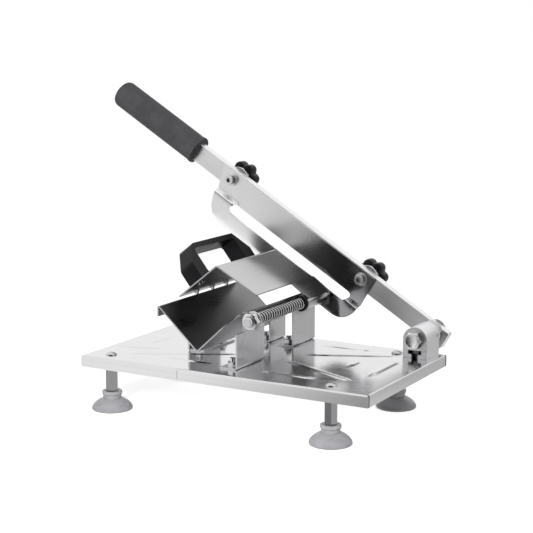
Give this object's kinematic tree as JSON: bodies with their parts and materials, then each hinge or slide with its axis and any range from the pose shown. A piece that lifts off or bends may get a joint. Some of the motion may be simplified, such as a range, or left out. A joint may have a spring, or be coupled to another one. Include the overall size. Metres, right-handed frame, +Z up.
{
  "type": "manual meat slicer",
  "caption": "Lever meat slicer: folded steel base on suction feet, V trough with spring-fed hinged pusher hood, and a pivoting arm with a slotted blade and star knobs.",
  "frame": {"origin": "on the floor, under the middle of the whole machine's box", "axes": "+X to the arm's pivot end, +Y to the back where the arm and blade are, +Z up"},
  "size_m": [0.4424, 0.2465, 0.3457],
  "materials": {
    "stainless_sheet": "polished stainless sheet with fine brushing",
    "arm_steel": "satin flat bar",
    "blade_steel": "mirror-polished stainless blade",
    "turned_steel": "turned and ground steel",
    "spring_steel": "bright drawn wire",
    "plated_steel": "bright zinc-plated fasteners",
    "block_alloy": "satin extruded alloy",
    "grey_plastic": "pale grey moulded plastic",
    "soft_vinyl": "milky soft vinyl",
    "black_foam": "matt black foam sleeve",
    "black_plastic": "black moulded plastic, fine grain",
    "knob_plastic": "black moulded plastic",
    "black_ring": "black ring"
  },
  "bodies": {
    "base": {"base_plate": "stainless_sheet", "foot_posts": "turned_steel", "foot_collars": "grey_plastic", "suction_cups": "soft_vinyl", "foot_screws": "plated_steel", "hinge_block": "block_alloy", "block_bolts": "plated_steel", "block_nuts": "plated_steel", "pivot_bolt": "plated_steel", "pivot_washers": "plated_steel", "pivot_spacer": "turned_steel", "pivot_nut": "plated_steel", "trough": "stainless_sheet", "front_stand": "stainless_sheet", "rear_stand": "stainless_sheet", "inner_stand": "stainless_sheet", "left_stand": "stainless_sheet", "stand_bolts": "plated_steel", "stand_nuts": "plated_steel", "feed_rod": "turned_steel", "rod_washer": "plated_steel", "rod_nut": "plated_steel", "feed_spring": "spring_steel"},
    "arm": {"blade_arm": "arm_steel", "arm_bush": "turned_steel", "arm_grip": "black_foam", "slicing_blade": "blade_steel", "blade_washers": "plated_steel", "blade_screws": "plated_steel", "knob_collars": "turned_steel"},
    "left_knob": {"star_knob_left": "knob_plastic", "knob_insert_left": "plated_steel"},
    "right_knob": {"star_knob_right": "knob_plastic", "knob_insert_right": "plated_steel"},
    "slide": {"slide_sleeve": "turned_steel", "spring_ring": "black_ring"},
    "hood": {"pusher_hood": "stainless_sheet", "hood_tube": "turned_steel", "pusher_handle": "black_plastic", "handle_screws": "plated_steel"}
  },
  "joints": [
    {"name": "arm_swing", "type": "hinge", "parent": "base", "child": "arm", "pos_m": [0.19818, 0.09565, 0.0815], "axis": [0, 1, 0], "range_deg": [-28, 58]},
    {"name": "left_knob_turn", "type": "hinge", "parent": "arm", "child": "left_knob", "pos_m": [-0.05645, 0.10825, 0.23632], "axis": [0, 1, 0], "range_deg": [0, 360]},
    {"name": "right_knob_turn", "type": "hinge", "parent": "arm", "child": "right_knob", "pos_m": [0.11274, 0.10825, 0.13345], "axis": [0, 1, 0], "range_deg": [0, 360]},
    {"name": "pusher_slide", "type": "slide", "parent": "base", "child": "slide", "axis": [0, -1, 0], "range_m": [0, 0.055], "stiffness_N_per_m": 950, "springref_m": -0.013, "deforming": ["feed_spring"]},
    {"name": "hood_flip", "type": "hinge", "parent": "slide", "child": "hood", "pos_m": [0.07318, 0.0443, 0.11398], "axis": [0, 1, 0], "range_deg": [0, 110]}
  ]
}
